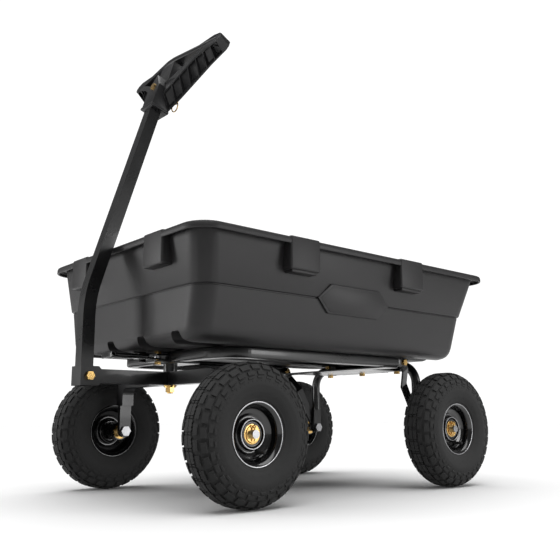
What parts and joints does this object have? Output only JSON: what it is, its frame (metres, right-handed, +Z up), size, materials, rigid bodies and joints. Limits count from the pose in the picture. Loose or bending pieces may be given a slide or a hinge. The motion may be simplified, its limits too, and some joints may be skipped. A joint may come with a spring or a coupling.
{
  "type": "garden cart",
  "caption": "Garden cart with a tipping poly tub on a steel frame, pneumatic tyres, a steered front axle and a tilting pull handle.",
  "frame": {"origin": "on the ground under the middle of the cart's outline", "axes": "+X forward to the handle, +Y to the cart's left, +Z up"},
  "size_m": [0.968, 0.622, 0.9826],
  "materials": {
    "black_paint": "gloss black powder coat",
    "lever_paint": "gloss black",
    "rim_paint": "gloss black",
    "yellow_zinc": "yellow zinc plate",
    "bare_steel": "bright zinc",
    "tub_poly": "fine grained",
    "grip_plastic": "satin",
    "bush_plastic": "plain",
    "valve_rubber": "plain",
    "tyre_rubber": "moulded tread"
  },
  "bodies": {
    "chassis": {"frame_hoop": "black_paint", "rear_cross_plate": "black_paint", "rear_axle": "black_paint", "rear_spindles": "bare_steel", "rear_washers": "yellow_zinc", "rear_cotter_pins": "yellow_zinc", "left_brace": "black_paint", "right_brace": "black_paint", "chassis_bolts": "yellow_zinc", "kingpin_plate": "black_paint", "kingpin_spacer": "black_paint", "kingpin_washer": "yellow_zinc", "kingpin_nut": "yellow_zinc", "kingpin_bolt": "yellow_zinc", "latch_bracket": "black_paint", "lever_pivot_bolt": "yellow_zinc", "lever_spring": "bare_steel"},
    "front_axle": {"front_axle_beam": "black_paint", "tongue": "black_paint", "tongue_bush": "bush_plastic", "front_spindles": "bare_steel", "front_washers": "yellow_zinc", "front_cotter_pins": "yellow_zinc"},
    "handle": {"handle_shaft": "black_paint", "handle_yoke": "black_paint", "handle_pivot_bolt": "yellow_zinc", "handle_pivot_nut": "yellow_zinc", "grip": "grip_plastic", "hitch_pin": "yellow_zinc"},
    "pull_ring": {"pull_ring": "yellow_zinc"},
    "dump_lever": {"dump_lever": "lever_paint"},
    "tub_body": {"tub": "tub_poly", "right_saddle": "black_paint", "left_saddle": "black_paint", "saddle_bolts": "yellow_zinc", "latch_strike": "black_paint"},
    "front_left_wheel": {"front_left_tyre": "tyre_rubber", "front_left_rim_outer": "rim_paint", "front_left_rim_inner": "rim_paint", "front_left_hub": "rim_paint", "front_left_bearings": "yellow_zinc", "front_left_valve": "valve_rubber"},
    "front_right_wheel": {"front_right_tyre": "tyre_rubber", "front_right_rim_outer": "rim_paint", "front_right_rim_inner": "rim_paint", "front_right_hub": "rim_paint", "front_right_bearings": "yellow_zinc", "front_right_valve": "valve_rubber"},
    "rear_left_wheel": {"rear_left_tyre": "tyre_rubber", "rear_left_rim_outer": "rim_paint", "rear_left_rim_inner": "rim_paint", "rear_left_hub": "rim_paint", "rear_left_bearings": "yellow_zinc", "rear_left_valve": "valve_rubber"},
    "rear_right_wheel": {"rear_right_tyre": "tyre_rubber", "rear_right_rim_outer": "rim_paint", "rear_right_rim_inner": "rim_paint", "rear_right_hub": "rim_paint", "rear_right_bearings": "yellow_zinc", "rear_right_valve": "valve_rubber"}
  },
  "joints": [
    {"name": "steer", "type": "hinge", "parent": "chassis", "child": "front_axle", "pos_m": [0.269, 0, 0.24], "axis": [0, 0, 1], "range_deg": [-8, 8]},
    {"name": "handle_tilt", "type": "hinge", "parent": "front_axle", "child": "handle", "pos_m": [0.4655, 0, 0.244], "axis": [0, 1, 0], "range_deg": [0, 92]},
    {"name": "ring_flip", "type": "hinge", "parent": "handle", "child": "pull_ring", "pos_m": [0.27365, 0, 0.87773], "axis": [0, 1, 0], "range_deg": [-10, 100]},
    {"name": "tub_dump", "type": "hinge", "parent": "chassis", "child": "tub_body", "pos_m": [-0.338, 0, 0.289], "axis": [0, -1, 0], "range_deg": [0, 40]},
    {"name": "lever_swing", "type": "hinge", "parent": "chassis", "child": "dump_lever", "pos_m": [0.301, 0, 0.2845], "axis": [0, 0, 1], "range_deg": [0, 22], "stiffness_Nm_per_rad": 0.3, "springref_deg": -8.59},
    {"name": "front_left_spin", "type": "hinge", "parent": "front_axle", "child": "front_left_wheel", "pos_m": [0.27, 0.268, 0.1325], "axis": [0, 1, 0], "continuous": true},
    {"name": "front_right_spin", "type": "hinge", "parent": "front_axle", "child": "front_right_wheel", "pos_m": [0.27, -0.268, 0.1325], "axis": [0, 1, 0], "continuous": true},
    {"name": "rear_left_spin", "type": "hinge", "parent": "chassis", "child": "rear_left_wheel", "pos_m": [-0.338, 0.268, 0.1325], "axis": [0, 1, 0], "continuous": true},
    {"name": "rear_right_spin", "type": "hinge", "parent": "chassis", "child": "rear_right_wheel", "pos_m": [-0.338, -0.268, 0.1325], "axis": [0, 1, 0], "continuous": true}
  ]
}
